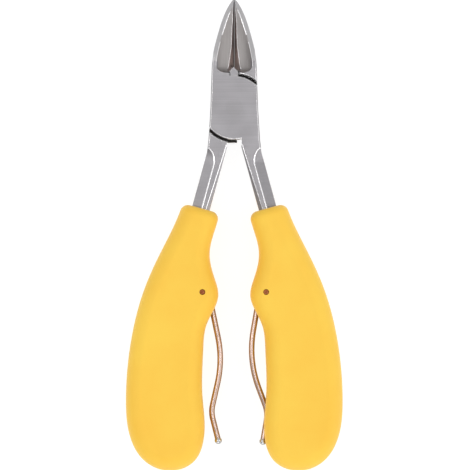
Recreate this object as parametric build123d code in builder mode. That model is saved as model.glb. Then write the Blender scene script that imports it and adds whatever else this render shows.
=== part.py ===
from build123d import *
import os
from math import asin, atan2, cos, degrees, hypot, radians, sin

# Lap-joint nail nipper, lying on its handles, jaws towards +Y, front face up.
# Millimetres. Origin: centre of the overall box, on the surface it lies on.

os.makedirs("parts", exist_ok=True)

# ---- overall layout -------------------------------------------------------------------
JAW_REACH = 29.9          # pivot axis to the tip of the jaws
NECK_REACH = 27.7         # pivot axis to the top of the handles
HANDLE_LENGTH = 72.4      # top of a handle to its round end
HANDLE_THICKNESS = 15.0
HANDLE_TOP_X = 9.2        # handle axis at its top, from the centre line
HANDLE_REACH = 20.8       # handle axis at its top to the widest point of the handle

TIP_Y = (JAW_REACH + NECK_REACH + HANDLE_LENGTH) / 2
PIVOT_Y = TIP_Y - JAW_REACH
HANDLE_TOP_Y = PIVOT_Y - NECK_REACH
MID_Z = HANDLE_THICKNESS / 2

# ---- steel head -----------------------------------------------------------------------
HEAD_THICKNESS = 6.0
HEAD_HALF_WIDTH = 6.6     # at the pivot
JAW_HALF_WIDTH = 6.25     # where the jaws leave the joint
SHOULDER_HALF_WIDTH = 7.15  # where the shanks leave the joint
JAW_ROOT = 11.0           # pivot axis to where the jaws begin to narrow
TIP_HALF_WIDTH = 0.35
JAW_GAP = 0.04            # between the closed cutting edges
TAPER_START = 13.0        # pivot axis to where the jaws begin to thin
TIP_THINNING = 1.7        # how far the tip lies within the head's front, and within its back

FRONT_Z = MID_Z + HEAD_THICKNESS / 2
BACK_Z = MID_Z - HEAD_THICKNESS / 2

# ---- lap joint ------------------------------------------------------------------------
PLATE_RADIUS = 8.85       # rounded end of each lap plate
SHOULDER_GAP = 0.6        # between a plate's end and the shoulder it turns in
LAP_GAP = 0.06            # between the two plates
EDGE_BREAK = 0.3          # small chamfer on the head's outline
PLATE_BREAK = 0.28        # chamfer on the rounded ends of the plates and on their shoulders
CROTCH_WEB = 0.8          # how far the back lever reaches below its plate, between the shanks
CROTCH_WEB_HALF_WIDTH = 1.6
RIVET_RADIUS = 2.4
RIVET_RUNNING_GAP = 0.04  # rivet in the back plate
RIVET_HEAD_RADIUS = 3.6
RIVET_HEAD_HEIGHT = 1.3
RIVET_DOME = 0.4          # how far the head stands out at the back

# ---- shanks and tangs -----------------------------------------------------------------
SHANK_ROOT_DROP = 10.0    # pivot axis to where the shanks part
SHANK_ROOT_X = 4.35       # shank axis there
SHANK_WIDTH = 5.0
SHOULDER_RUN = 3.0        # along the shank to where its outer side leaves the shoulder
TANG_DEPTH = 30.0         # how far the tang runs into the handle
TANG_END_WIDTH = 3.6
TANG_HOLE_RADIUS = 1.1    # the handle's core is moulded through this hole
TANG_HOLE_DEPTH = 20.0    # top of the handle to the hole
FACET_SLOPE = 20.0        # degrees, on the outer half of each shank
FACET_START = 1.5         # below the root of the shank
FACET_RUNOUT = 4.5        # length over which the facet reaches its full width
FACET_RIDGE = -0.25       # ridge, outwards from the shank's axis
FACET_OVERRUN = 0.6       # where the run-out leaves the shank, beyond its outer side
INNER_SLOPE = 32.0        # degrees, of the narrow facet on each shank's inner edge
INNER_WIDTH_ROOT = 0.3    # its width where the shanks part
INNER_WIDTH_END = 1.15    # its width at the handle
INNER_LEAD = 1.2          # it starts this far above the root of the shank

# ---- hollow-ground jaws ---------------------------------------------------------------
RIM_WIDTH = 1.15
DISH_RISE = 4.3           # axis of the grinding wheel above the head's front
DISH_START = 10.2         # pivot axis to the lowest point of the dish
DISH_FULL = 12.0          # pivot axis to where the dish has its full width
DISH_TIP_INSET = 1.6      # dish ends this far short of the tip
DISH_NOSE = (0.48, 0.25)  # shares of the jaw's half width and length, near its tip
BEVEL_START = 10.35       # pivot axis to where the cutting bevels begin, beside the lug
BEVEL_ROOT_HALF_WIDTH = 2.75  # half width of the bevels there, at the head's front
BEVEL_THROAT = 17.0       # pivot axis to where the bevels stop flaring
BEVEL_THROAT_HALF_WIDTH = 1.35
BEVEL_TIP_HALF_WIDTH = 0.12
EDGE_LAND = 0.45          # height of the cutting edge above the jaws' back
LUG_HALF_WIDTH = 1.05     # stop lug between the jaws
LUG_TOP = 11.3            # pivot axis to the lug's point
LUG_SHOULDER = 10.4       # pivot axis to the foot of the lug's point
LUG_SKEW = 0.4            # one shoulder lies this much lower
LUG_GAP = 0.3
LUG_DROP = 0.35           # lug's top below the head's front
LUG_GROOVE_DEPTH = 1.6
LUG_ROOT = 1.0            # how far the lug starts within the plate's rounded end

# ---- handles --------------------------------------------------------------------------
EDGE_ROUND = 4.1          # rounding all round the handle's two faces
END_ROUND = 2.2           # rounding of the handle's top end
GRIP_WALL = 2.0           # soft cover over the core

# ---- springs --------------------------------------------------------------------------
WIRE_RADIUS = 0.78
BALL_RADIUS = 1.0
PIN_RADIUS = 0.8
PIN_RECESS = 0.8
PIN_INSET = 4.35          # pin behind the crest of the handle's inner bulge
PIN_ABOVE_CREST = 1.1     # pin above that crest
EYE_GAP = 0.05            # wire eye on its pin
EYE_SWEEP = 250.0         # degrees of wire round the pin
LEFT_BOW = (5.58, 18.9)   # crest of the bow, inwards and down from the pin
RIGHT_BOW = (6.5, 18.4)   # the right one is bent a little further
BEND = (2.35, 33.2)       # outward bend, from the pin
END = (4.35, 41.1)        # ball centre, from the pin
BOW_RADIUS = 30.0
BEND_RADIUS = 8.0
SEAT_TURN = 4.9           # degrees from the bow above out to its seat in the handle's groove
SWING = 9.5               # degrees from the seat to where the two balls would meet
GROOVE_GAP = 0.3          # round the wire and the ball in the groove

OVERCUT = 0.5             # how far a cutter runs past the face that it opens
SHANK_ANGLE = degrees(atan2(HANDLE_TOP_X - SHANK_ROOT_X, NECK_REACH - SHANK_ROOT_DROP))

# Handle outline from its top outer corner round the end to its top inner corner:
# (share of the reach outwards from the handle axis, share of the length below the top).
# The first and last points lie above the sloping end cut.
HANDLE_OUTLINE = (
    (0.20, -0.06), (0.355, 0.065), (0.572, 0.19), (0.753, 0.31), (0.90, 0.463),
    (0.977, 0.617), (0.995, 0.735), (0.948, 0.862), (0.775, 0.955), (0.43, 1.0),
    (0.085, 0.963), (-0.04, 0.875), (-0.018, 0.71), (-0.03, 0.54), (-0.074, 0.445),
    (-0.23, 0.334), (-0.172, 0.26), (-0.115, 0.17), (-0.20, 0.07), (-0.25, -0.06),
)
BULGE_CREST = HANDLE_OUTLINE[15]
NECK_OUTER, NECK_INNER = HANDLE_OUTLINE[1], HANDLE_OUTLINE[18]

PIN_X = HANDLE_TOP_X + BULGE_CREST[0] * HANDLE_REACH + PIN_INSET
PIN_Y = HANDLE_TOP_Y - BULGE_CREST[1] * HANDLE_LENGTH + PIN_ABOVE_CREST
EYE_RADIUS = PIN_RADIUS + EYE_GAP + WIRE_RADIUS
NECK_WIDTH = (NECK_OUTER[0] - NECK_INNER[0]) * HANDLE_REACH
ROUND_SHARE = 0.42        # most of the neck or of the thickness that the rounding takes
HANDLE_ROUND = min(EDGE_ROUND, ROUND_SHARE * NECK_WIDTH, ROUND_SHARE * HANDLE_THICKNESS)


def handle_point(share):
    """Point of the handle's outline from its shares of reach and length."""
    return (HANDLE_TOP_X + share[0] * HANDLE_REACH, HANDLE_TOP_Y - share[1] * HANDLE_LENGTH)


def handle_flank(inset):
    """Open curve round the right handle, inset from its outline."""
    outline = Spline(*[handle_point(share) for share in HANDLE_OUTLINE], mode=Mode.PRIVATE)
    if not inset:
        return Spline(*[handle_point(share) for share in HANDLE_OUTLINE])
    steps = len(HANDLE_OUTLINE)
    stations = [step / steps for step in range(steps + 1)]
    return Spline(
        *[outline @ at + inset * Vector((outline % at).Y, -(outline % at).X) for at in stations]
    )


def handle_blank(inset):
    """Right handle with rounded edges, smaller by inset on every side."""
    end_cut = Plane(
        origin=(HANDLE_TOP_X, HANDLE_TOP_Y, 0),
        x_dir=(cos(radians(SHANK_ANGLE)), sin(radians(SHANK_ANGLE)), 0),
        z_dir=(-sin(radians(SHANK_ANGLE)), cos(radians(SHANK_ANGLE)), 0),
    ).offset(-inset)
    with BuildPart() as blank:
        with BuildSketch(Plane.XY.offset(inset)):
            with BuildLine():
                flank = handle_flank(inset)
                Line(flank @ 1, flank @ 0)
            make_face()
        extrude(amount=HANDLE_THICKNESS - 2 * inset)
        rims = blank.edges().filter_by(GeomType.LINE, reverse=True)
        fillet(rims, radius=HANDLE_ROUND - inset)
        split(bisect_by=end_cut, keep=Keep.BOTTOM)
        if not inset:
            fillet(blank.faces().sort_by(Axis(end_cut.origin, end_cut.z_dir))[-1].edges(), END_ROUND)
    return blank.part


JAW_LENGTH = JAW_REACH - JAW_ROOT
# (share of the jaw's half width, share of its length below the tip)
JAW_NOSE, JAW_BELLY = (0.25, 0.09), (0.75, 0.53)
NOSE_TANGENT, ROOT_TANGENT = (-1, -1.1), (-0.06, -1)


def head_outline():
    """Points down the left side of the jaws, from the tip to their root."""
    return [
        (-TIP_HALF_WIDTH, TIP_Y),
        (-JAW_NOSE[0] * JAW_HALF_WIDTH, TIP_Y - JAW_NOSE[1] * JAW_LENGTH),
        (-JAW_BELLY[0] * JAW_HALF_WIDTH, TIP_Y - JAW_BELLY[1] * JAW_LENGTH),
        (-JAW_HALF_WIDTH, PIVOT_Y + JAW_ROOT),
    ]


SHANK_DIR = (sin(radians(SHANK_ANGLE)), -cos(radians(SHANK_ANGLE)))
SHANK_OUT = (cos(radians(SHANK_ANGLE)), sin(radians(SHANK_ANGLE)))
SHANK_LENGTH = hypot(HANDLE_TOP_X - SHANK_ROOT_X, NECK_REACH - SHANK_ROOT_DROP)


def shank_point(along, out):
    """Point beside the right shank's axis: along it from its root, and outwards from it."""
    return (
        SHANK_ROOT_X + along * SHANK_DIR[0] + out * SHANK_OUT[0],
        PIVOT_Y - SHANK_ROOT_DROP + along * SHANK_DIR[1] + out * SHANK_OUT[1],
    )


def lever_blank():
    """Left jaw, front lap plate, right shank and tang, before any grinding."""
    with BuildPart() as blank:
        with BuildSketch(Plane.XY.offset(BACK_Z)):
            # lap plate: the head's width, rounded to the shoulder radius at both ends
            with BuildLine():
                Polyline(
                    (-JAW_HALF_WIDTH, PIVOT_Y + JAW_ROOT), (JAW_HALF_WIDTH, PIVOT_Y + JAW_ROOT),
                    (HEAD_HALF_WIDTH, PIVOT_Y), (SHOULDER_HALF_WIDTH, PIVOT_Y - PLATE_RADIUS),
                    (-SHOULDER_HALF_WIDTH, PIVOT_Y - PLATE_RADIUS), (-HEAD_HALF_WIDTH, PIVOT_Y),
                    close=True,
                )
            make_face()
            with Locations((0, PIVOT_Y)):
                Circle(PLATE_RADIUS, mode=Mode.INTERSECT)
            # own jaw, left of the cutting edge
            with BuildLine():
                side = Spline(*head_outline(), tangents=(NOSE_TANGENT, ROOT_TANGENT))
                Polyline(
                    side @ 1, (-HEAD_HALF_WIDTH, PIVOT_Y), (-JAW_GAP / 2, PIVOT_Y),
                    (-JAW_GAP / 2, TIP_Y), side @ 0,
                )
            make_face()
            # own shank, with the tang beyond it
            with BuildLine():
                Polyline(
                    (HEAD_HALF_WIDTH, PIVOT_Y), (SHOULDER_HALF_WIDTH, PIVOT_Y - PLATE_RADIUS),
                    shank_point(SHOULDER_RUN, SHANK_WIDTH / 2),
                    shank_point(SHANK_LENGTH, SHANK_WIDTH / 2),
                    shank_point(SHANK_LENGTH + TANG_DEPTH, TANG_END_WIDTH / 2),
                    shank_point(SHANK_LENGTH + TANG_DEPTH, -TANG_END_WIDTH / 2),
                    shank_point(SHANK_LENGTH, -SHANK_WIDTH / 2), shank_point(0, -SHANK_WIDTH / 2),
                    (shank_point(0, -SHANK_WIDTH / 2)[0], PIVOT_Y), close=True,
                )
            make_face()
        extrude(amount=HEAD_THICKNESS)
        # the other lever's plate turns in this recess
        with BuildSketch(Plane.XY.offset(BACK_Z)):
            with Locations((0, PIVOT_Y)):
                Circle(PLATE_RADIUS + SHOULDER_GAP)
        extrude(amount=HEAD_THICKNESS / 2 + LAP_GAP / 2, mode=Mode.SUBTRACT)
        # hole that the handle's core is moulded through
        with BuildSketch(Plane.XY.offset(BACK_Z)):
            with Locations(shank_point(SHANK_LENGTH + TANG_HOLE_DEPTH, 0)):
                Circle(TANG_HOLE_RADIUS)
        extrude(amount=HEAD_THICKNESS, mode=Mode.SUBTRACT)
    return blank.part


def jaw_taper():
    """Wedges that thin the jaws towards the tip, in front and behind."""
    start, end = PIVOT_Y + TAPER_START, TIP_Y + OVERCUT
    beyond = (end - start) / (TIP_Y - start)
    with BuildPart() as wedges:
        with BuildSketch(Plane.YZ):
            with BuildLine():
                Polyline((start, FRONT_Z), (end, FRONT_Z), (end, FRONT_Z - TIP_THINNING * beyond),
                         close=True)
            make_face()
            with BuildLine():
                Polyline((start, BACK_Z), (end, BACK_Z), (end, BACK_Z + TIP_THINNING * beyond),
                         close=True)
            make_face()
        extrude(amount=2 * JAW_HALF_WIDTH, both=True)
    return wedges.part


def dish_cutter():
    """Shape left by the grinding wheel that hollows the front of both jaws."""
    tilt = atan2(TIP_THINNING, JAW_REACH - TAPER_START)
    wheel_axis = Axis((0, PIVOT_Y + TAPER_START, FRONT_Z + DISH_RISE), (0, cos(tilt), -sin(tilt)))

    def station(reach, half_width):
        """Point of the wheel's profile: reach from the pivot, half width of the dish there."""
        along = (reach - TAPER_START) / cos(tilt)
        radius = hypot(half_width, DISH_RISE)
        return (
            PIVOT_Y + TAPER_START + along * cos(tilt) - radius * sin(tilt),
            FRONT_Z + DISH_RISE - along * sin(tilt) - radius * cos(tilt),
        )

    with BuildPart() as dish:
        with BuildSketch(Plane.YZ):
            with BuildLine():
                rim = Spline(
                    station(DISH_FULL, JAW_HALF_WIDTH - RIM_WIDTH),
                    station(JAW_REACH - JAW_BELLY[1] * JAW_LENGTH,
                            JAW_BELLY[0] * JAW_HALF_WIDTH - RIM_WIDTH),
                    station(JAW_REACH - DISH_NOSE[1] * JAW_LENGTH,
                            DISH_NOSE[0] * JAW_HALF_WIDTH - RIM_WIDTH),
                    station(JAW_REACH - DISH_TIP_INSET, 0),
                )
                heel = TangentArc(rim @ 0, station(DISH_START, 0), tangent=-(rim % 0))
                along_end = (JAW_REACH - DISH_TIP_INSET - TAPER_START) / cos(tilt)
                along_start = (DISH_START - TAPER_START) / cos(tilt)
                Polyline(
                    rim @ 1,
                    (PIVOT_Y + TAPER_START + along_end * cos(tilt),
                     FRONT_Z + DISH_RISE - along_end * sin(tilt)),
                    (PIVOT_Y + TAPER_START + along_start * cos(tilt),
                     FRONT_Z + DISH_RISE - along_start * sin(tilt)),
                    heel @ 1,
                )
            make_face()
        revolve(axis=wheel_axis)
    return dish.part


def bevel_cutter():
    """Wedge between the jaws that leaves a cutting bevel on each, down to the edge."""
    with BuildPart() as wedge:
        for reach, half_width in (
            (BEVEL_START, BEVEL_ROOT_HALF_WIDTH),
            (BEVEL_THROAT, BEVEL_THROAT_HALF_WIDTH),
            (JAW_REACH + OVERCUT, BEVEL_TIP_HALF_WIDTH),
        ):
            along = (reach - BEVEL_START) / (JAW_REACH - BEVEL_START)
            edge_rise = EDGE_LAND + TIP_THINNING * along
            with BuildSketch(Plane((0, PIVOT_Y + reach, 0), x_dir=(1, 0, 0), z_dir=(0, -1, 0))):
                with BuildLine():
                    Polyline((-half_width, FRONT_Z), (half_width, FRONT_Z),
                             (0, BACK_Z + edge_rise), close=True)
                make_face()
        loft(ruled=True)
    return wedge.part


def lug_prism(gap, low_y, low_z, high_z):
    """Stop lug between two heights, larger by gap on every side, from low_y upwards."""
    with BuildPart() as lug:
        with BuildSketch(Plane.XY.offset(low_z)):
            with BuildLine():
                Polyline(
                    (-LUG_HALF_WIDTH, low_y + gap),
                    (-LUG_HALF_WIDTH, PIVOT_Y + LUG_SHOULDER),
                    (-LUG_SKEW * LUG_HALF_WIDTH / 2, PIVOT_Y + LUG_TOP),
                    (LUG_HALF_WIDTH, PIVOT_Y + LUG_SHOULDER - LUG_SKEW),
                    (LUG_HALF_WIDTH, low_y + gap),
                    close=True,
                )
            make_face()
            if gap:
                offset(amount=gap, kind=Kind.INTERSECTION)
        extrude(amount=high_z - low_z)
    return lug.part


def facet_cutter():
    """Slanting cut on the outer half of the right shank's front face, with a rounded run-out."""
    with BuildPart() as cut:
        with BuildSketch(Plane.XY.offset(FRONT_Z)):
            with BuildLine():
                far = SHANK_LENGTH + TANG_DEPTH + OVERCUT
                top = shank_point(FACET_START, SHANK_WIDTH / 2 + FACET_OVERRUN)
                ridge_start = shank_point(FACET_START + FACET_RUNOUT, FACET_RIDGE)
                runout = TangentArc(ridge_start, top, tangent=(-SHANK_DIR[0], -SHANK_DIR[1]))
                Polyline(
                    runout @ 1, shank_point(FACET_START, SHANK_WIDTH), shank_point(far, SHANK_WIDTH),
                    shank_point(far, FACET_RIDGE), ridge_start,
                )
            make_face()
        slope = radians(FACET_SLOPE)
        extrude(
            amount=SHANK_WIDTH,
            dir=(SHANK_OUT[0] * cos(slope), SHANK_OUT[1] * cos(slope), -sin(slope)),
        )
    return cut.part


def inner_facet_cutter():
    """Narrow slanting cut on the right shank's inner edge, wider towards the handle."""
    side = -SHANK_WIDTH / 2
    far = SHANK_LENGTH + TANG_DEPTH + OVERCUT
    with BuildPart() as cut:
        with BuildSketch(Plane.XY.offset(FRONT_Z)):
            with BuildLine():
                Polyline(
                    shank_point(-INNER_LEAD, side), shank_point(0, side + INNER_WIDTH_ROOT),
                    shank_point(SHANK_LENGTH, side + INNER_WIDTH_END),
                    shank_point(far, side + INNER_WIDTH_END), shank_point(far, 2 * side),
                    shank_point(-INNER_LEAD, 2 * side), close=True,
                )
            make_face()
        slope = radians(INNER_SLOPE)
        extrude(
            amount=SHANK_WIDTH,
            dir=(-SHANK_OUT[0] * cos(slope), -SHANK_OUT[1] * cos(slope), -sin(slope)),
        )
    return cut.part


def arc_break(radius, inwards):
    """Ring cut that chamfers an edge of this radius about the pivot, on the front face."""
    width = -PLATE_BREAK if inwards else PLATE_BREAK
    with BuildPart() as ring:
        with BuildSketch(Plane.XZ.offset(-PIVOT_Y)):
            with BuildLine():
                Polyline(
                    (radius + width, FRONT_Z), (radius - width, FRONT_Z),
                    (radius - width, FRONT_Z - 2 * PLATE_BREAK), close=True,
                )
            make_face()
        revolve(axis=Axis((0, PIVOT_Y, 0), (0, 0, 1)))
    return ring.part


def break_edges(lever):
    """Outline edges of a lever's straight outer walls, in front and behind."""
    side_zone = 0.55 * JAW_HALF_WIDTH
    walls = lever.faces().filter_by(
        lambda face: face.geom_type != GeomType.CYLINDER
        and abs(face.normal_at().Z) < 0.01
        and abs(face.center().X) > side_zone
        and face.center().Y > PIVOT_Y - PLATE_RADIUS + 1
    )
    return walls.edges().filter_by(
        lambda edge: abs((edge @ 1).Z - (edge @ 0).Z) < LAP_GAP
        and abs(edge.center().Z - MID_Z) > HEAD_THICKNESS / 4
        and abs(edge.center().X) > side_zone
        and edge.center().Y < PIVOT_Y + TAPER_START
    )


def faceted_lever():
    """Lever blank with its shank's facets and edges ground."""
    with BuildPart() as lever:
        add(lever_blank())
        for facet in (facet_cutter(), inner_facet_cutter()):
            add(facet, mode=Mode.SUBTRACT)
            add(mirror(facet, about=Plane.XY.offset(MID_Z)), mode=Mode.SUBTRACT)
        add(jaw_taper(), mode=Mode.SUBTRACT)
        chamfer(break_edges(lever), EDGE_BREAK)
    return lever.part


def plate_zone():
    """Space over the front plate's two free ends, clear of its own jaw and shank."""
    crotch_x = shank_point(0, -SHANK_WIDTH / 2)[0]
    reach = 2 * SHOULDER_HALF_WIDTH
    with BuildPart() as zone:
        with BuildSketch(Plane.XY.offset(MID_Z)):
            for corner, turn in (((LUG_HALF_WIDTH, PIVOT_Y), 0), ((crotch_x, PIVOT_Y), 180)):
                with Locations(Location((*corner, 0), (0, 0, turn))):
                    Rectangle(reach, reach, align=(Align.MIN, Align.MIN))
        extrude(amount=HEAD_THICKNESS)
    return zone.part


def plate_break():
    """Chamfer round the two free ends of the front lever's plate."""
    with BuildPart() as cut:
        add(arc_break(PLATE_RADIUS, inwards=True))
        add(plate_zone(), mode=Mode.INTERSECT)
    return cut.part


def crotch_web():
    """Tongue of the back lever that shows below the front plate, between the shanks."""
    with BuildPart() as web:
        with BuildSketch(Plane.XY.offset(BACK_Z)):
            with Locations((-CROTCH_WEB_HALF_WIDTH / 2, PIVOT_Y - PLATE_RADIUS - CROTCH_WEB)):
                Rectangle(2 * CROTCH_WEB_HALF_WIDTH, PLATE_RADIUS / 2, align=(Align.CENTER, Align.MIN))
        extrude(amount=BACK_PLATE_Z - BACK_Z)
    return web.part


PLATE_END_Y = PIVOT_Y + PLATE_RADIUS
FRONT_PLATE_Z = MID_Z + LAP_GAP / 2
BACK_PLATE_Z = MID_Z - LAP_GAP / 2

lever = faceted_lever()
jaw_cutters = [dish_cutter(), bevel_cutter()]
shoulder_break = arc_break(PLATE_RADIUS + SHOULDER_GAP, inwards=False)

with BuildPart() as front_lever:
    add(lever)
    for cutter in (*jaw_cutters, plate_break()):
        add(cutter, mode=Mode.SUBTRACT)
    add(
        lug_prism(LUG_GAP, PLATE_END_Y, FRONT_Z - LUG_GROOVE_DEPTH, FRONT_Z + OVERCUT),
        mode=Mode.SUBTRACT,
    )
    add(lug_prism(0, PLATE_END_Y - LUG_ROOT, FRONT_PLATE_Z, FRONT_Z - LUG_DROP))
    with Locations((0, PIVOT_Y, BACK_Z)):
        Cylinder(RIVET_RADIUS, HEAD_THICKNESS, align=(Align.CENTER, Align.CENTER, Align.MIN),
                 mode=Mode.SUBTRACT)
front_lever.part.label = "front_lever"
export_step(front_lever.part, "parts/front_lever.step")

with BuildPart() as back_lever:
    add(lever.rotate(Axis((0, 0, MID_Z), (0, 1, 0)), 180))
    for cutter in (*jaw_cutters, shoulder_break):
        add(cutter, mode=Mode.SUBTRACT)
    add(
        lug_prism(LUG_GAP, PLATE_END_Y - LUG_ROOT, BACK_PLATE_Z, FRONT_Z + OVERCUT),
        mode=Mode.SUBTRACT,
    )
    add(crotch_web())
    with Locations((0, PIVOT_Y, BACK_Z)):
        Cylinder(RIVET_RADIUS + RIVET_RUNNING_GAP, HEAD_THICKNESS,
                 align=(Align.CENTER, Align.CENTER, Align.MIN), mode=Mode.SUBTRACT)
        Cone(RIVET_HEAD_RADIUS + RIVET_RUNNING_GAP, RIVET_RADIUS + RIVET_RUNNING_GAP,
             RIVET_HEAD_HEIGHT + RIVET_RUNNING_GAP,
             align=(Align.CENTER, Align.CENTER, Align.MIN), mode=Mode.SUBTRACT)
back_lever.part.label = "back_lever"
export_step(back_lever.part, "parts/back_lever.step")

with BuildPart() as pivot_rivet:
    with BuildSketch(Plane.XZ.offset(-PIVOT_Y)):
        with BuildLine():
            dome = RadiusArc(
                (0, BACK_Z - RIVET_DOME), (RIVET_HEAD_RADIUS, BACK_Z),
                (RIVET_HEAD_RADIUS ** 2 + RIVET_DOME ** 2) / (2 * RIVET_DOME),
            )
            Polyline(
                dome @ 1, (RIVET_RADIUS, BACK_Z + RIVET_HEAD_HEIGHT), (RIVET_RADIUS, FRONT_Z),
                (0, FRONT_Z), dome @ 0,
            )
        make_face()
    revolve(axis=Axis((0, PIVOT_Y, 0), (0, 0, 1)))
pivot_rivet.part.label = "pivot_rivet"
export_step(pivot_rivet.part, "parts/pivot_rivet.step")


def spring_plane(turn):
    """Plane at the right handle's spring pin, turned outwards by turn degrees."""
    return Plane(
        origin=(PIN_X, PIN_Y, MID_Z),
        x_dir=(cos(radians(turn)), sin(radians(turn)), 0),
        z_dir=(0, 0, 1),
    )


def leg_turn(bow):
    """Direction in which the wire leaves its eye, in degrees from straight down."""
    return degrees(atan2(*bow) - asin(EYE_RADIUS / hypot(*bow)))


WIRE_END_SHARE = (BALL_RADIUS ** 2 - WIRE_RADIUS ** 2) ** 0.5


def spring_wire(turn, bow):
    """Right spring wire: eye round the pin, bow, bend and straight end."""
    leg = leg_turn(bow)
    last = hypot(END[0] - BEND[0], END[1] - BEND[1])
    stop = 1 - WIRE_END_SHARE / last
    end = (-(BEND[0] + stop * (END[0] - BEND[0])), -(BEND[1] + stop * (END[1] - BEND[1])))
    with BuildPart() as wire:
        with BuildLine(spring_plane(turn)):
            eye = CenterArc((0, 0), EYE_RADIUS, 180 - leg - EYE_SWEEP, EYE_SWEEP)
            FilletPolyline(
                (-EYE_RADIUS * cos(radians(leg)), EYE_RADIUS * sin(radians(leg))),
                (-bow[0], -bow[1]), (-BEND[0], -BEND[1]), end,
                radius=[BOW_RADIUS, BEND_RADIUS],
            )
        with BuildSketch(Plane(origin=eye @ 0, z_dir=eye % 0)):
            Circle(WIRE_RADIUS)
        sweep()
    return wire.part


def spring_ball(turn):
    """Ball on the end of the right spring wire, with a flat seat for the wire."""
    centre = spring_plane(turn).from_local_coords((-END[0], -END[1], 0))
    towards_bend = spring_plane(turn).from_local_coords((-BEND[0], -BEND[1], 0)) - centre
    seat = Plane(origin=centre + towards_bend.normalized() * WIRE_END_SHARE, z_dir=towards_bend)
    with BuildPart() as ball:
        with Locations(centre):
            Sphere(BALL_RADIUS)
        split(bisect_by=seat, keep=Keep.BOTTOM)
    return ball.part


def groove_cutter():
    """Slot in the right handle for the spring: round its eye, its swing and its folded bow."""
    side = WIRE_RADIUS + GROOVE_GAP
    in_leg = max(leg_turn(LEFT_BOW), leg_turn(RIGHT_BOW)) - SEAT_TURN + SWING
    fan = EYE_RADIUS + side
    fan_start = (-fan * cos(radians(in_leg)), fan * sin(radians(in_leg)))
    reach_in = 3 * PIN_INSET

    def seated(point, extra):
        """Point of the folded wire, moved outwards by extra."""
        inwards, down = point
        turned = radians(SEAT_TURN)
        return (-inwards * cos(turned) + down * sin(turned) + extra,
                -down * cos(turned) - inwards * sin(turned))

    bow = seated(LEFT_BOW, side)
    bend = seated(BEND, side)
    end = seated(END, BALL_RADIUS + GROOVE_GAP)
    low = end[1] - BALL_RADIUS - GROOVE_GAP
    depth = 2 * (max(WIRE_RADIUS, BALL_RADIUS) + GROOVE_GAP)
    with BuildPart() as groove:
        with BuildSketch(Plane(origin=(PIN_X, PIN_Y, MID_Z - depth / 2))):
            Circle(fan)
            with BuildLine():
                Polyline(
                    (0, 0), fan_start,
                    (fan_start[0] - reach_in * sin(radians(in_leg)),
                     fan_start[1] - reach_in * cos(radians(in_leg))),
                    (-2 * reach_in, bow[1]), (-2 * reach_in, low), (end[0], low), end, bend, bow,
                    close=True,
                )
            make_face()
        extrude(amount=depth)
    return groove.part


def spring_pin():
    """Pin across the right handle, its ends sunk below both faces."""
    with BuildPart() as pin:
        with BuildSketch(Plane.XY.offset(PIN_RECESS)):
            with Locations((PIN_X, PIN_Y)):
                Circle(PIN_RADIUS)
        extrude(amount=HANDLE_THICKNESS - 2 * PIN_RECESS)
    return pin.part


def pin_hole():
    """Hole for the spring pin, through both faces of the right handle."""
    with BuildPart() as hole:
        with BuildSketch():
            with Locations((PIN_X, PIN_Y)):
                Circle(PIN_RADIUS)
        extrude(amount=HANDLE_THICKNESS)
    return hole.part


def cut_from(body, cutters):
    """Body with every cutter taken away from it."""
    with BuildPart() as rest:
        add(body)
        for cutter in cutters:
            add(cutter, mode=Mode.SUBTRACT)
    return rest.part


def write_piece(name, shape, flipped):
    """Write a piece of the right handle, or its mirror image for the left one."""
    with BuildPart() as piece:
        add(mirror(shape, about=Plane.YZ) if flipped else shape)
    piece.part.label = name
    export_step(piece.part, f"parts/{name}.step")


# the core is moulded round the tang, and the soft cover over the core
core_blank = handle_blank(GRIP_WALL)
handle_cutters = [groove_cutter(), pin_hole(), front_lever.part]
core = cut_from(core_blank, handle_cutters)
cover = cut_from(handle_blank(0), [core_blank, *handle_cutters])
pin = spring_pin()
for hand, turn, bow in (("right", SEAT_TURN, RIGHT_BOW), ("left", 0, LEFT_BOW)):
    for kind, shape in (
        ("handle_core", core), ("grip_cover", cover), ("spring_pin", pin),
        ("spring_wire", spring_wire(turn, bow)), ("spring_ball", spring_ball(turn)),
    ):
        write_piece(f"{hand}_{kind}", shape, flipped=hand == "left")
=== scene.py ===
import logging
import math
from dataclasses import dataclass
from enum import Enum

import bmesh
import bpy
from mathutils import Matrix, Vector
from mathutils.bvhtree import BVHTree
from mathutils.geometry import intersect_line_line_2d

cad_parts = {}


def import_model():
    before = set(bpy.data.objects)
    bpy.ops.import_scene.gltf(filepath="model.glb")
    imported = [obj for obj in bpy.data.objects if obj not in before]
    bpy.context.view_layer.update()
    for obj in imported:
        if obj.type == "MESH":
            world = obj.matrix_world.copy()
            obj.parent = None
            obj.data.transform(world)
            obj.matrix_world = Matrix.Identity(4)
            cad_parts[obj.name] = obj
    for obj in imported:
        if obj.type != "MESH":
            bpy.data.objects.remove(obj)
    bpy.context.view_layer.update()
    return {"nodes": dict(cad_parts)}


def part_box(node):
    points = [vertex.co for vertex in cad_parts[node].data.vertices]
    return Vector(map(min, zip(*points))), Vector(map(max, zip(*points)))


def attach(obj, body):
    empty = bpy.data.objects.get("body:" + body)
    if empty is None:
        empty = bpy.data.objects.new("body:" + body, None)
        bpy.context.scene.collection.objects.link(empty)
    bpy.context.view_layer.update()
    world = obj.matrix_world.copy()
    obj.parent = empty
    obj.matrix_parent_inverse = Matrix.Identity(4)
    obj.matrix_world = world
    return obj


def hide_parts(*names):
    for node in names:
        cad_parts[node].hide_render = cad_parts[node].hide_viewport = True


LOG = logging.getLogger("nail_nipper")
MM = 0.001

Colour = tuple[float, float, float]
Span = tuple[float, float]


class Side(Enum):
    """Which half of the nipper a piece belongs to."""

    LEFT = "left"
    RIGHT = "right"


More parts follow.
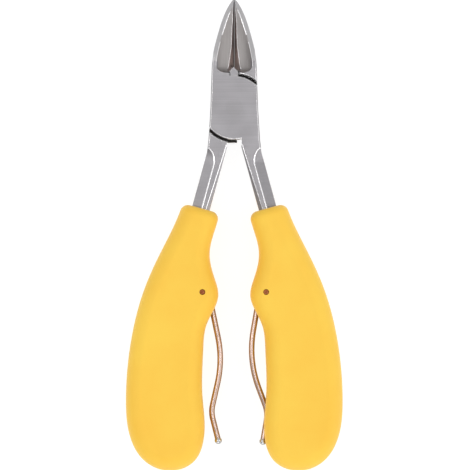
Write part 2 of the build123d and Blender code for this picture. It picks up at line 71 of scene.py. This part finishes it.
class Slot(Enum):
    """Material slots of the record."""

    JAW_STEEL = "jaw_steel"
    RIVET_STEEL = "rivet_steel"
    GRIP_YELLOW = "grip_yellow"
    CORE_PLASTIC = "core_plastic"
    PIN_STEEL = "pin_steel"
    SPRING_WIRE = "spring_wire"
    BALL_STEEL = "ball_steel"


class LeverFace(Enum):
    """Material index of each kind of face on a lever; EDGE, BLADE and RIM hold painted light,
    HOLLOW a painted warm reflection and LAP painted shade.
    """

    SATIN = 0
    EDGE = 1
    HOLLOW = 2
    BLADE = 3
    LAP = 4
    RIM = 5


class Nodes:
    """Small helper that adds shader nodes to one material and links them."""

    def __init__(self, name: str) -> None:
        """Start an empty material with a principled shader."""
        self.material = bpy.data.materials.new(name)
        self.material.use_nodes = True
        self.tree = self.material.node_tree
        self.shader = self.tree.nodes["Principled BSDF"]

    def add(self, kind: str, **settings: object) -> bpy.types.Node:
        """Add a node.

        Args:
            kind: Blender's type name of the node.
            settings: values for the node's own properties.

        Returns:
            The new node.
        """
        node = self.tree.nodes.new(kind)
        for key, value in settings.items():
            setattr(node, key, value)
        return node

    def link(self, source: bpy.types.NodeSocket, target: bpy.types.NodeSocket) -> None:
        """Link one socket to another."""
        self.tree.links.new(source, target)

    def place(self, scale: tuple[float, float, float]) -> bpy.types.NodeSocket:
        """Object coordinates, scaled.

        Args:
            scale: pattern cells per metre along each axis.

        Returns:
            The vector socket.
        """
        coords = self.add("ShaderNodeTexCoord")
        mapping = self.add("ShaderNodeMapping")
        mapping.inputs["Scale"].default_value = scale
        self.link(coords.outputs["Object"], mapping.inputs["Vector"])
        return mapping.outputs["Vector"]

    def noise(self, vector: bpy.types.NodeSocket, detail: float = 3.0,
              rough: float = 0.5) -> bpy.types.NodeSocket:
        """Noise pattern.

        Args:
            vector: coordinates, already scaled.
            detail: octaves of the noise.
            rough: how strong the fine octaves are.

        Returns:
            The factor socket.
        """
        node = self.add("ShaderNodeTexNoise")
        node.inputs["Scale"].default_value = 1.0
        node.inputs["Detail"].default_value = detail
        node.inputs["Roughness"].default_value = rough
        self.link(vector, node.inputs["Vector"])
        return node.outputs["Fac"]

    def remap(self, value: bpy.types.NodeSocket, result: Span,
              source: Span = (0.0, 1.0)) -> bpy.types.NodeSocket:
        """Map a value from one span to another.

        Args:
            value: socket to read.
            result: results at the two ends.
            source: values that give those results.

        Returns:
            The result socket.
        """
        node = self.add("ShaderNodeMapRange")
        node.inputs["From Min"].default_value, node.inputs["From Max"].default_value = source
        node.inputs["To Min"].default_value, node.inputs["To Max"].default_value = result
        self.link(value, node.inputs["Value"])
        return node.outputs["Result"]

    def blend(self, factor: bpy.types.NodeSocket, first: Colour,
              second: Colour) -> bpy.types.NodeSocket:
        """Blend two colours.

        Args:
            factor: 0 for the first colour, 1 for the second.
            first: linear colour.
            second: linear colour.

        Returns:
            The colour socket.
        """
        node = self.add("ShaderNodeMix", data_type="RGBA")
        node.inputs["A"].default_value = (*first, 1.0)
        node.inputs["B"].default_value = (*second, 1.0)
        self.link(factor, node.inputs["Factor"])
        return node.outputs["Result"]

    def bump(self, height: bpy.types.NodeSocket, strength: float,
             distance: float) -> bpy.types.NodeSocket:
        """Bump from a height.

        Args:
            height: height pattern.
            strength: strength from 0 to 1.
            distance: height in metres.

        Returns:
            The normal socket.
        """
        node = self.add("ShaderNodeBump")
        node.inputs["Strength"].default_value = strength
        node.inputs["Distance"].default_value = distance
        self.link(height, node.inputs["Height"])
        return node.outputs["Normal"]


@dataclass(frozen=True)
class BrushedSteel:
    """Ground steel with fine lines across the tool.

    Attributes:
        name: material name.
        dark: colour in the troughs of the lines.
        light: colour on their crests.
        roughness: lowest and highest roughness.
        line_scale: lines per metre along each axis.
        line_depth: bump height of the lines in metres.
        line_strength: strength of that bump.
        line_contrast: line values that give the dark and the light colour.
        cloud_scale: cells per metre of the clouds that vary the roughness.
        cloud_span: cloud values that give the lowest and the highest roughness.
    """

    name: str
    dark: Colour
    light: Colour
    roughness: Span
    line_scale: tuple[float, float, float] = (60.0, 5200.0, 900.0)
    line_depth: float = 0.02 * MM
    line_strength: float = 0.25
    line_contrast: Span = (0.25, 0.75)
    cloud_scale: float = 110.0
    cloud_span: Span = (0.35, 0.65)

    def build(self) -> bpy.types.Material:
        """Make the material.

        Returns:
            Brushed steel, its lines stretched along the axis of the smallest scale.
        """
        n = Nodes(self.name)
        lines = n.noise(n.place(self.line_scale), detail=4.0, rough=0.6)
        cloud = n.noise(n.place((self.cloud_scale,) * 3))
        mixed = n.remap(lines, (0.0, 1.0), self.line_contrast)
        n.link(n.blend(mixed, self.dark, self.light), n.shader.inputs["Base Color"])
        n.link(n.remap(cloud, self.roughness, self.cloud_span), n.shader.inputs["Roughness"])
        n.link(n.bump(lines, self.line_strength, self.line_depth), n.shader.inputs["Normal"])
        n.shader.inputs["Metallic"].default_value = 1.0
        return n.material


@dataclass(frozen=True)
class PolishedSteel:
    """Bright steel that darkens to a tint where it turns away.

    Attributes:
        name: material name.
        colour: colour seen face on.
        edge_tint: colour at a grazing angle.
        roughness: lowest and highest roughness.
        scuff_scale: scuffs per metre.
        scuff_shade: brightness of the colour in a scuff.
        scuff_span: scuff values that give the lowest and the highest roughness.
        scuff_strength: strength of the scuffs' bump.
        scuff_depth: depth of the scuffs in metres.
    """

    name: str
    colour: Colour
    edge_tint: Colour = (1.0, 1.0, 1.0)
    roughness: Span = (0.12, 0.2)
    scuff_scale: float = 2400.0
    scuff_shade: float = 0.93
    scuff_span: Span = (0.3, 0.7)
    scuff_strength: float = 0.1
    scuff_depth: float = 0.01 * MM

    def build(self) -> bpy.types.Material:
        """Make the material.

        Returns:
            Polished steel with faint scuffs.
        """
        n = Nodes(self.name)
        scuffs = n.noise(n.place((self.scuff_scale,) * 3))
        dull = tuple(self.scuff_shade * channel for channel in self.colour)
        n.link(n.blend(scuffs, dull, self.colour), n.shader.inputs["Base Color"])
        n.link(n.remap(scuffs, self.roughness, self.scuff_span), n.shader.inputs["Roughness"])
        n.link(n.bump(scuffs, self.scuff_strength, self.scuff_depth), n.shader.inputs["Normal"])
        n.shader.inputs["Metallic"].default_value = 1.0
        n.shader.inputs["Specular Tint"].default_value = (*self.edge_tint, 1.0)
        return n.material


@dataclass(frozen=True)
class MouldedPlastic:
    """Coloured plastic with a fine moulded grain.

    Attributes:
        name: material name.
        main: colour.
        deep: colour of the darker clouds in it.
        roughness: lowest and highest roughness.
        grain: bump height of the grain in metres.
        sheen: weight of the soft sheen.
        cloud_scale: clouds per metre.
        cloud_span: cloud values that give the ends of the colours and of the roughness.
        grain_scale: grains per metre.
        grain_strength: strength of the grain's bump.
        gloss: specular level.
    """

    name: str
    main: Colour
    deep: Colour
    roughness: Span
    grain: float
    sheen: float
    cloud_scale: float = 60.0
    cloud_span: Span = (0.3, 0.7)
    grain_scale: float = 3200.0
    grain_strength: float = 0.18
    gloss: float = 0.35

    def build(self) -> bpy.types.Material:
        """Make the material.

        Returns:
            Matte plastic.
        """
        n = Nodes(self.name)
        cloud = n.noise(n.place((self.cloud_scale,) * 3), detail=4.0, rough=0.55)
        mixed = n.remap(cloud, (0.0, 1.0), self.cloud_span)
        n.link(n.blend(mixed, self.deep, self.main), n.shader.inputs["Base Color"])
        n.link(n.remap(cloud, self.roughness, self.cloud_span), n.shader.inputs["Roughness"])
        speckle = n.noise(n.place((self.grain_scale,) * 3), detail=2.0)
        n.link(n.bump(speckle, self.grain_strength, self.grain), n.shader.inputs["Normal"])
        n.shader.inputs["Specular IOR Level"].default_value = self.gloss
        n.shader.inputs["Sheen Weight"].default_value = self.sheen
        return n.material


ALONG_THE_JAW = (5200.0, 60.0, 900.0)

SATIN = BrushedSteel("satin_steel", (0.275, 0.266, 0.278), (0.325, 0.315, 0.328), (0.34, 0.42))
# Eased edges: low roughness for the polish, and a colour far brighter than the satin steel, a
# painted highlight along the edges.
EDGE = PolishedSteel("polished_edge_painted_highlight", (0.86, 0.85, 0.86))
# Jaw hollows: rougher ground steel whose warm, lighter tint is a painted warm reflection.
HOLLOW = BrushedSteel("hollow_ground_steel_painted_reflection", (0.335, 0.315, 0.31), (0.40, 0.378, 0.372),
                      (0.52, 0.60), line_scale=ALONG_THE_JAW, line_depth=0.03 * MM)
# Cutting bevels: warm steel much lighter than the satin, painted light on these steep faces with a
# painted warm reflection.
BLADE = BrushedSteel("blade_steel_painted_light", (0.62, 0.55, 0.53), (0.72, 0.65, 0.63), (0.40, 0.48),
                     line_scale=(5200.0, 300.0, 900.0))
# Lap faces and the round walls of the gaps: near-black steel, painted shade in the gaps between
# the levers.
LAP = BrushedSteel("lap_steel_painted_shade", (0.030, 0.028, 0.026), (0.045, 0.042, 0.038), (0.5, 0.6))
# Jaw rims: ground steel lighter than the satin, painted light along the rims.
RIM = BrushedSteel("ground_rim_steel_painted_light", (0.40, 0.392, 0.40), (0.46, 0.452, 0.46), (0.34, 0.42),
                   line_scale=ALONG_THE_JAW)
RIVET = BrushedSteel("ground_rivet_steel", (0.27, 0.262, 0.272), (0.32, 0.31, 0.322), (0.34, 0.42))
# Pin ends sunk in their holes: orange-brown steel, a painted reflection of the yellow grip with
# painted shade in the hole.
PIN = BrushedSteel("turned_pin_painted_orange_reflection", (0.22, 0.06, 0.02), (0.44, 0.17, 0.075), (0.3, 0.4),
                   line_scale=(3000.0, 3000.0, 200.0))
WIRE = PolishedSteel("warm_spring_wire", (0.50, 0.38, 0.33), (0.15, 0.08, 0.07), (0.18, 0.28))
BALL = PolishedSteel("ball_steel", (0.62, 0.62, 0.63), (0.22, 0.21, 0.22), (0.08, 0.16))
GRIP = MouldedPlastic("soft_grip", (1.0, 0.645, 0.075), (0.985, 0.58, 0.056), (0.50, 0.62),
                      grain=0.05 * MM, sheen=0.12)
CORE = MouldedPlastic("handle_core", (0.90, 0.45, 0.05), (0.84, 0.38, 0.04), (0.42, 0.52),
                      grain=0.03 * MM, sheen=0.0)


def dress(node: bpy.types.Object, material: bpy.types.Material) -> None:
    """Give one CAD node a single material."""
    node.data.materials.clear()
    node.data.materials.append(material)
    LOG.info("dressed %s", node.name)


def new_piece(name: str, mesh: bmesh.types.BMesh,
              materials: list[bpy.types.Material]) -> bpy.types.Object:
    """Turn a finished bmesh into an object at the origin.

    Args:
        name: name of the piece.
        mesh: its shape, in place; it is freed.
        materials: its materials, in the order of their indices.

    Returns:
        The new object, linked to the scene.
    """
    data = bpy.data.meshes.new(name)
    mesh.to_mesh(data)
    mesh.free()
    for material in materials:
        data.materials.append(material)
    piece = bpy.data.objects.new(name, data)
    bpy.context.collection.objects.link(piece)
    LOG.info("made %s with %d faces", name, len(data.polygons))
    return piece


@dataclass
class Lever:
    """One half of the head: a jaw, its lap plate and the other side's shank.

    Attributes:
        node: CAD node that the piece stands for.
        body: body it moves with.
        weld: vertices nearer than this are one, in metres.
        sliver: edges shorter than this are closed up, in metres.
        flat: faces that meet at less than this are one face, in degrees.
        crease: edges sharper than this are eased, in degrees.
        ridge: edges up to this angle are ridges, eased more widely, in degrees.
        corner: largest angle of an edge, in degrees.
        ridge_width: easing of a ridge, in metres.
        edge_width: easing of a corner, in metres.
        blade_width: strip at the centre line where the cutting edges stay sharp, in metres.
        buried: depth in the handle from which edges are left sharp, in metres.
        steps: faces across an eased edge.
        loop_steps: longest run of edges in a loop that is pulled together.
        loop_size: reach of such a loop, in metres.
        jaw_root: pivot axis to the lowest point of the jaw's hollow, in metres.
        below_front: faces of the hollow lie at least this far below the front, in metres.
        hollow_rise: how far up the faces of the hollow look, lowest and highest.
        blade_rise: how far up the cutting bevels look, lowest and highest.
        rim_rise: least that the rims look up.
        rim_lean: least that the rims look towards the tip.
        lap_rise: least that the sliding faces look straight up or down.
        lap_margin: sliding faces lie within this of the middle, in metres.
        round_wall: least that a round wall looks away from the pivot.
        plate_radius: radii between which a round wall belongs to the lap joint, in metres.
    """

    node: str
    body: str
    weld: float = 0.002 * MM
    sliver: float = 0.12 * MM
    flat: float = 0.6
    crease: float = 12.0
    ridge: float = 40.0
    corner: float = 180.0
    ridge_width: float = 0.14 * MM
    edge_width: float = 0.07 * MM
    blade_width: float = 0.15 * MM
    buried: float = 6.0 * MM
    steps: int = 3
    loop_steps: int = 8
    loop_size: float = 0.8 * MM
    jaw_root: float = 9.9 * MM
    below_front: float = 0.3 * MM
    hollow_rise: Span = (0.52, 0.995)
    blade_rise: Span = (0.1, 0.52)
    rim_rise: float = 0.97
    rim_lean: float = 0.03
    lap_rise: float = 0.9
    lap_margin: float = 0.1 * MM
    round_wall: float = 0.98
    plate_radius: Span = (8.6 * MM, 9.7 * MM)

    def eased_end(self) -> float:
        """Height along Y below which the lever lies deep in its handle."""
        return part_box("right_grip_cover")[1][1] - self.buried

    def sharp_edges(self, mesh: bmesh.types.BMesh, angles: Span) -> list[bmesh.types.BMEdge]:
        """Edges to ease.

        Args:
            mesh: the lever.
            angles: smallest and largest angle between an edge's faces, in degrees.

        Returns:
            Edges within those angles, outside the handle, clear of the blades and the rivet.
        """
        end = self.eased_end()
        rivet_low, rivet_high = (Vector(corner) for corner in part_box("pivot_rivet"))
        rivet, rivet_radius = (rivet_low + rivet_high) / 2, (rivet_high.x - rivet_low.x) / 2
        found = []
        for edge in mesh.edges:
            middle = (edge.verts[0].co + edge.verts[1].co) / 2
            angle = math.degrees(edge.calc_face_angle(0.0))
            at_blade = abs(middle.x) < self.blade_width and middle.y > 0.0
            at_rivet = (middle - rivet).xy.length < rivet_radius
            clear = middle.y > end and not at_blade and not at_rivet
            if angles[0] < angle <= angles[1] and clear:
                found.append(edge)
        return found

    def ease(self, mesh: bmesh.types.BMesh, angles: Span, width: float) -> None:
        """Round the edges between two angles.

        Args:
            mesh: the lever, changed in place.
            angles: smallest and largest angle of these edges, in degrees.
            width: distance from the edge on each side, in metres.
        """
        bmesh.ops.bevel(mesh, geom=self.sharp_edges(mesh, angles), offset=width,
                        offset_type="OFFSET", segments=self.steps, profile=0.5,
                        affect="EDGES", clamp_overlap=False, material=LeverFace.EDGE.value)
        self.untangle(mesh)

    def untangle(self, mesh: bmesh.types.BMesh) -> None:
        """Pull together the small loops left where easing is wider than a corner allows.

        Args:
            mesh: the lever, changed in place.
        """
        for face in [face for face in mesh.faces if len(face.verts) > 4]:
            across = face.normal.orthogonal().normalized()
            up = face.normal.cross(across)
            verts = list(face.verts)
            count = len(verts)
            flat = [Vector((vert.co.dot(across), vert.co.dot(up))) for vert in verts]
            for first in range(count):
                for step in range(2, min(self.loop_steps, count - 2) + 1):
                    run = [(first + k) % count for k in range(step + 2)]
                    hit = intersect_line_line_2d(*[flat[run[k]] for k in (0, 1, -2, -1)])
                    loop = run[1:-1]
                    if hit is None or max((flat[k] - hit).length for k in loop) > self.loop_size:
                        continue
                    for k in loop:
                        shift = hit - flat[k]
                        verts[k].co += across * shift.x + up * shift.y
                        flat[k] = hit

    def finish_of(self, face: bmesh.types.BMFace, pivot_y: float,
                  heights: Span) -> LeverFace:
        """Kind of face, which sets its material and so where the painted light and shade go.
        """
        centre, look = face.calc_center_median(), face.normal
        out = Vector((centre.x, centre.y - pivot_y, 0.0))
        on_jaw = centre.y > pivot_y + self.jaw_root
        sunk = on_jaw and heights[1] - centre.z > self.below_front
        at_lap = abs(centre.z - sum(heights) / 2) < self.lap_margin
        at_plate = self.plate_radius[0] < out.length < self.plate_radius[1]
        # Hollows, cutting bevels and rims get steel with a painted reflection or painted light.
        if sunk and self.hollow_rise[0] < look.z < self.hollow_rise[1]:
            return LeverFace.HOLLOW
        if sunk and self.blade_rise[0] < look.z <= self.blade_rise[1]:
            return LeverFace.BLADE
        if on_jaw and look.z > self.rim_rise and look.y > self.rim_lean:
            return LeverFace.RIM
        # Lap faces and the round walls of the gaps get near-black steel: painted shade.
        if abs(look.z) > self.lap_rise and at_lap:
            return LeverFace.LAP
        if abs(look.dot(out.normalized())) > self.round_wall and at_plate:
            return LeverFace.LAP
        return LeverFace.SATIN

    def shape(self, mesh: bmesh.types.BMesh) -> None:
        """Clean the CAD surface, mark its faces and round its edges.

        Args:
            mesh: the lever, changed in place.
        """
        bmesh.ops.remove_doubles(mesh, verts=mesh.verts, dist=self.weld)
        bmesh.ops.dissolve_limit(mesh, angle_limit=math.radians(self.flat),
                                 verts=mesh.verts, edges=mesh.edges)
        bmesh.ops.dissolve_degenerate(mesh, dist=self.sliver, edges=mesh.edges)
        mesh.normal_update()
        low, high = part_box(self.node)
        rivet_low, rivet_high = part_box("pivot_rivet")
        pivot_y = (rivet_low[1] + rivet_high[1]) / 2
        for face in mesh.faces:
            face.material_index = self.finish_of(face, pivot_y, (low[2], high[2])).value
        surface = BVHTree.FromBMesh(mesh)
        self.ease(mesh, (self.crease, self.ridge), self.ridge_width)
        self.ease(mesh, (self.ridge, self.corner), self.edge_width)
        for vertex in mesh.verts:
            nearest, _, _, distance = surface.find_nearest(vertex.co)
            if distance > self.edge_width:
                vertex.co = nearest
        bmesh.ops.remove_doubles(mesh, verts=mesh.verts, dist=self.weld)

    def smooth(self, mesh: bmesh.types.BMesh) -> None:
        """Shade the faces smooth, up to the edges that are left sharp.

        Args:
            mesh: the lever, changed in place.
        """
        mesh.normal_update()
        end = self.eased_end()
        for edge in mesh.edges:
            least = self.crease if edge.verts[0].co.y < end else self.ridge
            edge.smooth = math.degrees(edge.calc_face_angle(0.0)) < least
        for face in mesh.faces:
            face.smooth = True

    def build(self, node: bpy.types.Object, materials: list[bpy.types.Material]) -> None:
        """Make the lever.

        Args:
            node: the CAD node it stands for.
            materials: one for each kind of face, in the order of LeverFace.
        """
        mesh = bmesh.new()
        mesh.from_mesh(node.data)
        self.shape(mesh)
        self.smooth(mesh)
        piece = new_piece(f"{self.node}_ground", mesh, materials)
        piece.modifiers.new("even_normals", "WEIGHTED_NORMAL").keep_sharp = True
        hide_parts(self.node)
        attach(piece, self.body)


@dataclass
class SpringPin:
    """Spring pin with turned, chamfered and centred ends.

    Attributes:
        side: which handle it crosses.
        segments: faces round it.
        chamfer: width of the chamfer on its ends, in metres.
        chamfer_steps: faces across the chamfer.
        centre_share: radius of the centre mark, as a share of the pin's.
        centre_depth: depth of the centre mark, in metres.
        end_rise: least that the flat of an end looks up or down.
    """

    side: Side
    segments: int = 64
    chamfer: float = 0.16 * MM
    chamfer_steps: int = 2
    centre_share: float = 0.3
    centre_depth: float = 0.12 * MM
    end_rise: float = 0.999

    def end_faces(self, mesh: bmesh.types.BMesh) -> list[bmesh.types.BMFace]:
        """Flat ends of the pin."""
        return [face for face in mesh.faces if abs(face.normal.z) > self.end_rise]

    def build(self, material: bpy.types.Material) -> None:
        """Make the pin where its CAD node is.

        Args:
            material: finish of the pin.
        """
        node = f"{self.side.value}_spring_pin"
        low, high = (Vector(corner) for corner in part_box(node))
        radius = (high.x - low.x) / 2
        mesh = bmesh.new()
        bmesh.ops.create_cone(mesh, cap_ends=True, segments=self.segments, radius1=radius,
                              radius2=radius, depth=high.z - low.z)
        bmesh.ops.translate(mesh, verts=mesh.verts, vec=(low + high) / 2)
        rims = {edge for face in self.end_faces(mesh) for edge in face.edges}
        bmesh.ops.bevel(mesh, geom=list(rims), offset=self.chamfer, segments=self.chamfer_steps,
                        profile=0.5, affect="EDGES", material=-1)
        mark = radius * self.centre_share
        for end in self.end_faces(mesh):
            bmesh.ops.inset_region(mesh, faces=[end], depth=0.0,
                                   thickness=(radius - self.chamfer) * (1 - self.centre_share))
            bmesh.ops.inset_region(mesh, faces=[end], depth=-self.centre_depth,
                                   thickness=mark / 2)
        for face in mesh.faces:
            face.smooth = True
        piece = new_piece(f"{self.side.value}_pin_turned", mesh, [material])
        piece.modifiers.new("even_normals", "WEIGHTED_NORMAL")
        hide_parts(node)
        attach(piece, f"{self.side.value}_half")


@dataclass
class Head:
    """Steel head: two levers and the rivet that they turn on.

    Attributes:
        levers: front lever, which carries the right handle, and back lever.
    """

    levers: tuple[Lever, ...] = (
        Lever("front_lever", "right_half"), Lever("back_lever", "left_half"))

    def build(self, nodes: dict[str, bpy.types.Object]) -> None:
        """Grind the levers and finish the rivet.

        Args:
            nodes: CAD nodes by name.
        """
        # Steel for each kind of lever face; EDGE, BLADE and RIM carry painted light, HOLLOW a
        # painted reflection, LAP painted shade.
        face_materials = [finish.build() for finish in (SATIN, EDGE, HOLLOW, BLADE, LAP, RIM)]
        for lever in self.levers:
            lever.build(nodes[lever.node], face_materials)
        dress(nodes["pivot_rivet"], RIVET.build())


@dataclass
class Handles:
    """Both handles, each with its grip cover, core, spring pin, spring wire and ball.

    Attributes:
        sides: the sides, in the order in which they are built.
    """

    sides: tuple[Side, ...] = tuple(Side)

    def build(self, nodes: dict[str, bpy.types.Object]) -> None:
        """Finish the handles and springs, and turn the pins.

        Args:
            nodes: CAD nodes by name.
        """
        grip, core, pin, wire, ball = (kind.build() for kind in (GRIP, CORE, PIN, WIRE, BALL))
        for side in self.sides:
            dress(nodes[f"{side.value}_grip_cover"], grip)
            dress(nodes[f"{side.value}_handle_core"], core)
            dress(nodes[f"{side.value}_spring_wire"], wire)
            dress(nodes[f"{side.value}_spring_ball"], ball)
            SpringPin(side).build(pin)


@dataclass
class Softbox:
    """One soft studio light.

    Attributes:
        name: name of the light.
        towards: where it hangs, seen from the tool.
        power: its power in watts.
        size: its width and length in metres.
        distance: how far away it hangs, in metres.
    """

    name: str
    towards: tuple[float, float, float]
    power: float
    size: tuple[float, float] = (0.62, 0.62)
    distance: float = 1.2

    def build(self, centre: Vector) -> None:
        """Hang the light so that it faces the tool.

        Args:
            centre: point the light is aimed at.
        """
        light = bpy.data.lights.new(self.name, "AREA")
        light.shape = "RECTANGLE"
        light.size, light.size_y = self.size
        light.energy = self.power
        box = bpy.data.objects.new(self.name, light)
        out = Vector(self.towards).normalized()
        box.location = centre + out * self.distance
        box.rotation_euler = out.to_track_quat("Z", "Y").to_euler()
        bpy.context.collection.objects.link(box)


@dataclass
class Studio:
    """Pale floor, soft lights and a camera that looks straight down on the tool.

    Attributes:
        floor_size: side of the floor in metres.
        floor_tone: grey of the floor.
        floor_rough: roughness of the floor.
        floor_glow: light that the floor gives off itself, so that it stays white.
        camera_height: height of the camera in metres.
        span: width of the view at the floor in metres.
        offset: how far the camera stands to the right, in metres.
        sensor: width of the camera's sensor in millimetres.
        horizon: brightness of the sky at the horizon.
        zenith: brightness of the sky overhead.
        rise: heights in the sky between which it brightens.
        side: how much brighter the right of the sky is than its middle.
        boxes: the lights. Two long strips overhead draw thin lines on the polished edges.
    """

    floor_size: float = 3.0
    floor_tone: float = 0.25
    floor_rough: float = 0.9
    floor_glow: float = 0.85
    camera_height: float = 1.4
    span: float = 0.1306
    offset: float = 0.0002
    sensor: float = 36.0
    horizon: float = 0.50
    zenith: float = 0.80
    rise: Span = (0.15, 0.85)
    side: float = 0.06
    boxes: tuple[Softbox, ...] = (
        Softbox("strip_left", (-0.40, 0.0, 1.0), 1.1, (0.10, 1.1)),
        Softbox("strip_right", (0.40, 0.0, 1.0), 1.1, (0.10, 1.1)),
        Softbox("softbox_right", (1.0, -0.2, 0.5), 1.8),
        Softbox("softbox_left", (-0.8, 0.15, 0.8), 0.9),
        Softbox("softbox_bottom", (-0.1, -1.0, 0.5), 2.0),
    )

    def sky(self) -> bpy.types.World:
        """Studio surroundings, brighter overhead than at the horizon.

        Returns:
            The world.
        """
        world = bpy.data.worlds.new("soft_sky")
        world.use_nodes = True
        tree = world.node_tree
        coords = tree.nodes.new("ShaderNodeTexCoord")
        split = tree.nodes.new("ShaderNodeSeparateXYZ")
        tree.links.new(coords.outputs["Generated"], split.inputs["Vector"])
        strength = tree.nodes.new("ShaderNodeMath")
        strength.operation = "ADD"
        for socket, axis, source, levels in (
            (0, "Z", self.rise, (self.horizon, self.zenith)),
            (1, "X", (-1.0, 1.0), (-self.side, self.side)),
        ):
            ramp = tree.nodes.new("ShaderNodeMapRange")
            ramp.inputs["From Min"].default_value, ramp.inputs["From Max"].default_value = source
            ramp.inputs["To Min"].default_value, ramp.inputs["To Max"].default_value = levels
            tree.links.new(split.outputs[axis], ramp.inputs["Value"])
            tree.links.new(ramp.outputs["Result"], strength.inputs[socket])
        tree.links.new(strength.outputs["Value"], tree.nodes["Background"].inputs["Strength"])
        tree.nodes["Background"].inputs["Color"].default_value = (1.0, 1.0, 1.0, 1.0)
        return world

    def floor(self) -> bpy.types.Object:
        """Floor of matte paper that glows a little.

        Returns:
            The floor, linked to the scene.
        """
        mesh = bmesh.new()
        bmesh.ops.create_grid(mesh, x_segments=1, y_segments=1, size=self.floor_size / 2)
        data = bpy.data.meshes.new("studio_floor")
        mesh.to_mesh(data)
        mesh.free()
        paper = Nodes("paper")
        paper.shader.inputs["Base Color"].default_value = (self.floor_tone,) * 3 + (1.0,)
        paper.shader.inputs["Roughness"].default_value = self.floor_rough
        paper.shader.inputs["Emission Color"].default_value = (1.0, 1.0, 1.0, 1.0)
        paper.shader.inputs["Emission Strength"].default_value = self.floor_glow
        data.materials.append(paper.material)
        floor = bpy.data.objects.new("studio_floor", data)
        bpy.context.collection.objects.link(floor)
        return floor

    def camera(self, centre: Vector) -> bpy.types.Object:
        """Camera above the tool, looking straight down.

        Args:
            centre: point under the middle of the view.

        Returns:
            The camera, linked to the scene.
        """
        data = bpy.data.cameras.new("camera")
        data.sensor_width = self.sensor
        data.lens = self.sensor * self.camera_height / self.span
        camera = bpy.data.objects.new("camera", data)
        camera.location = centre + Vector((self.offset, 0.0, self.camera_height))
        bpy.context.collection.objects.link(camera)
        return camera

    def build(self, centre: Vector) -> None:
        """Make floor, lights, world and camera.

        Args:
            centre: point of the tool's box that the view is centred on.
        """
        bpy.context.scene.view_settings.view_transform = "Standard"
        self.floor()
        bpy.context.scene.world = self.sky()
        for box in self.boxes:
            box.build(centre)
        bpy.context.scene.camera = self.camera(centre)


def main() -> None:
    """Build every piece of the nipper and the studio around it."""
    logging.basicConfig(level=logging.INFO)
    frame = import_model()
    Studio().build(Vector((0.0, 0.0, 0.0)))
    Head().build(frame["nodes"])
    Handles().build(frame["nodes"])
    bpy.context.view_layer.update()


if __name__ == "__main__":
    main()
